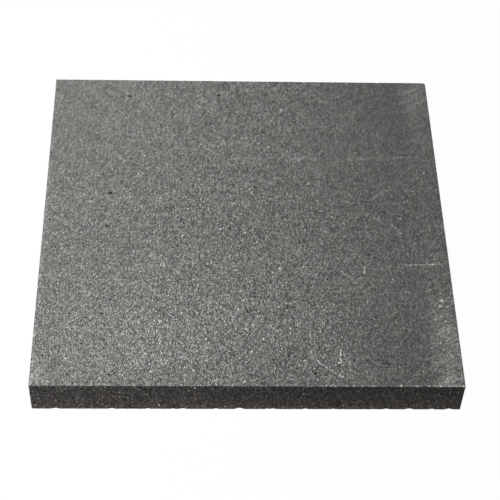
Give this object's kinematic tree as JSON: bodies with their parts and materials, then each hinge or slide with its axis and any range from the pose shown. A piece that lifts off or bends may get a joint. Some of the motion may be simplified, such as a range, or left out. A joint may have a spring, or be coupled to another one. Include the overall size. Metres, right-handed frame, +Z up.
{
  "type": "graphite plate",
  "caption": "Flat square slab of dark grey graphite with a fine speckled grain, sawn faces and lightly chipped edges.",
  "frame": {"origin": "middle of the underside, on the surface that the plate rests on", "axes": "+X to the right along the front edge, +Y from the front edge to the back, +Z up through the thickness"},
  "size_m": [0.1016, 0.1016, 0.0095],
  "materials": {
    "graphite": "sawn, matt with a slight graphite sheen and a fine speckled grain"
  },
  "bodies": {
    "root": {"plate": "graphite"}
  },
  "joints": []
}
